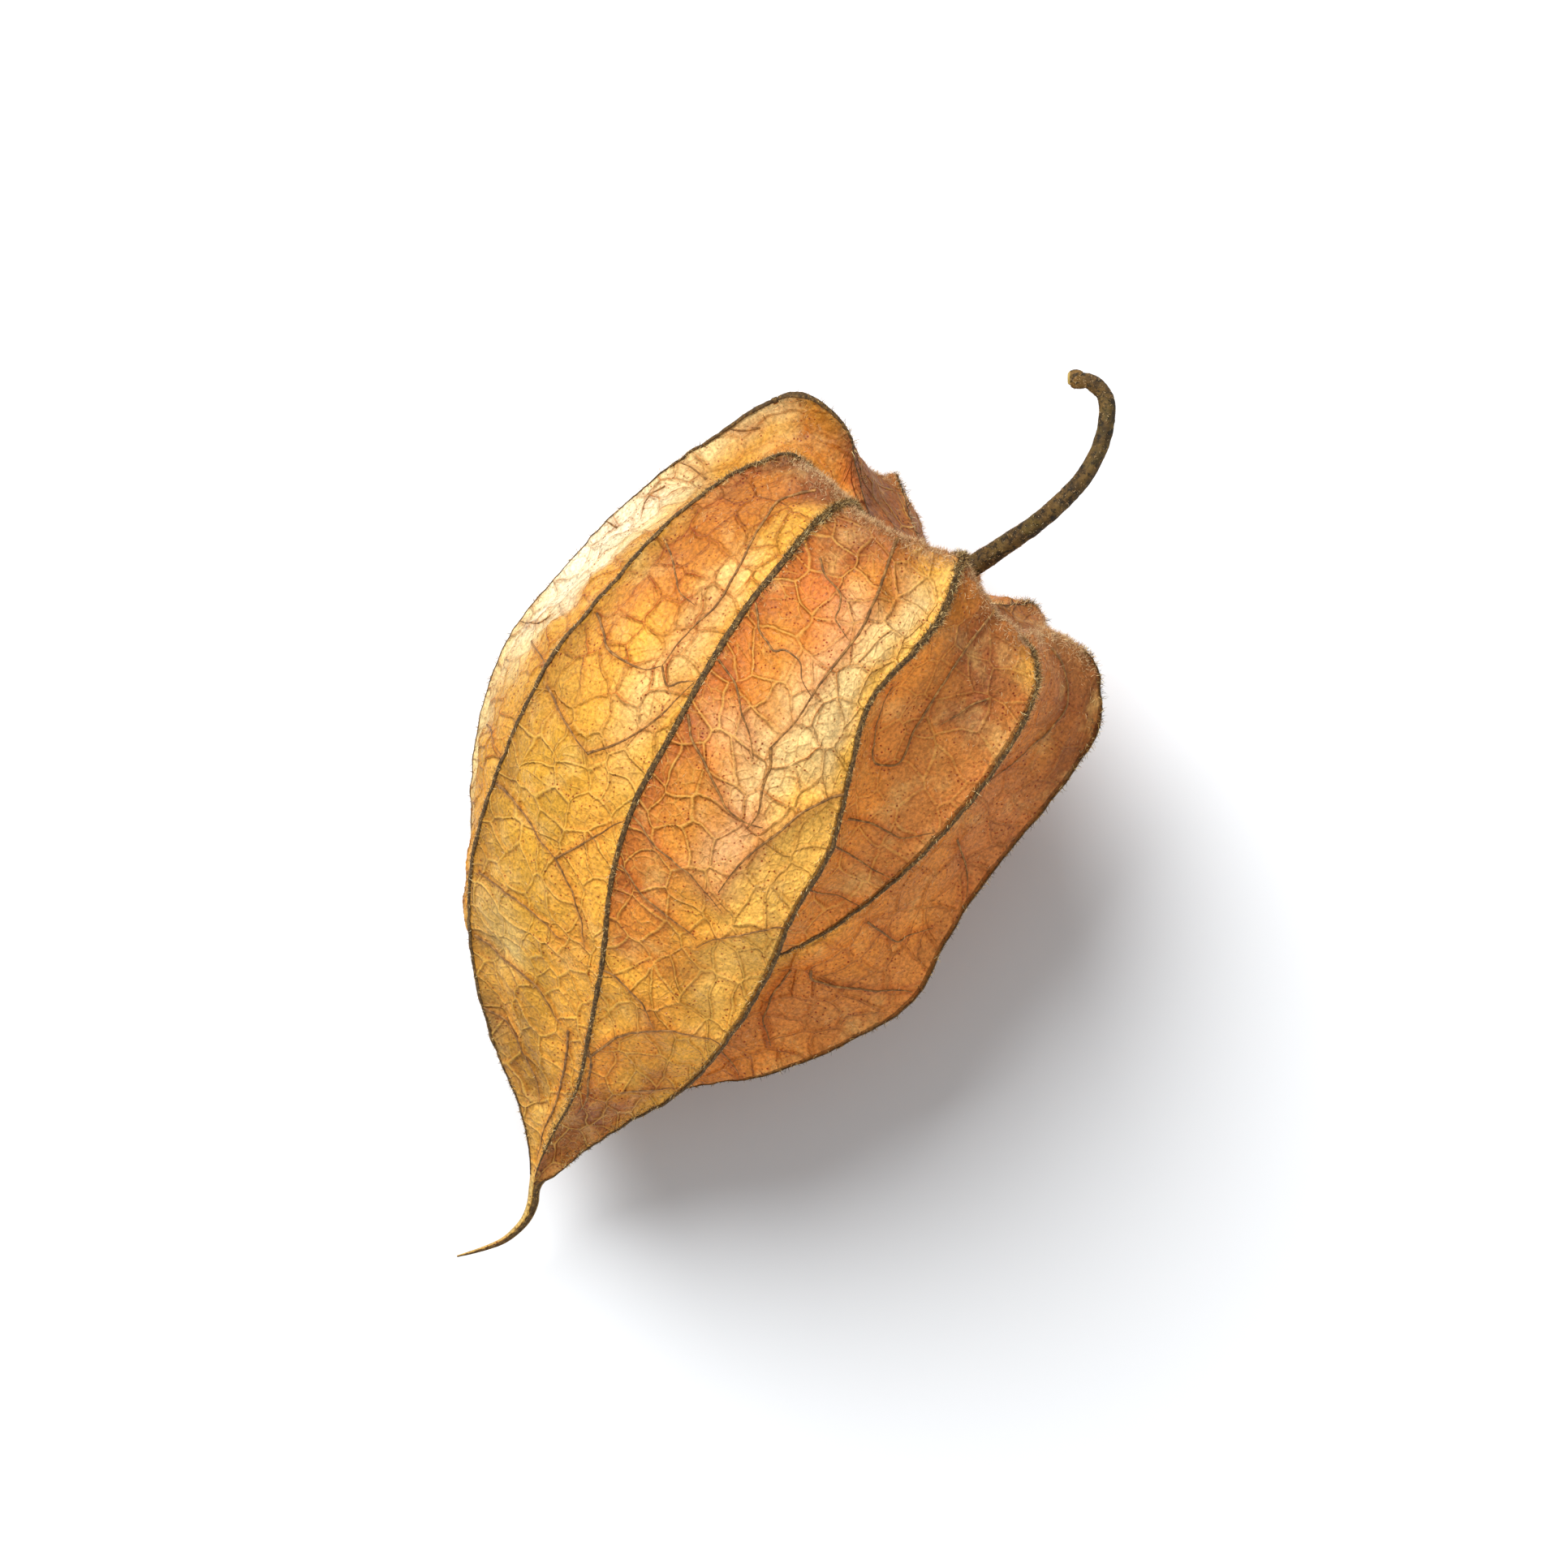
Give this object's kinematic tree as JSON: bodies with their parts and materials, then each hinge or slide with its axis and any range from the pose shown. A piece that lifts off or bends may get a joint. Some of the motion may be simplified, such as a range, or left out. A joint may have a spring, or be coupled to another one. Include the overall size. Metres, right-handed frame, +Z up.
{
  "type": "physalis in its husk",
  "caption": "Dried physalis fruit in its closed papery lantern husk, with strong ribs, a thin curled tail and a curved stalk, lying on its belly.",
  "frame": {"origin": "bottom centre of the box around the husk and its stem, on the surface it rests on", "axes": "+X along the husk's long axis from the tail towards the stem, +Y across it, +Z up"},
  "size_m": [0.06, 0.0296, 0.0277],
  "materials": {
    "husk": "satin",
    "stem": "matte"
  },
  "bodies": {
    "root": {"husk": "husk", "stem": "stem"}
  },
  "joints": []
}
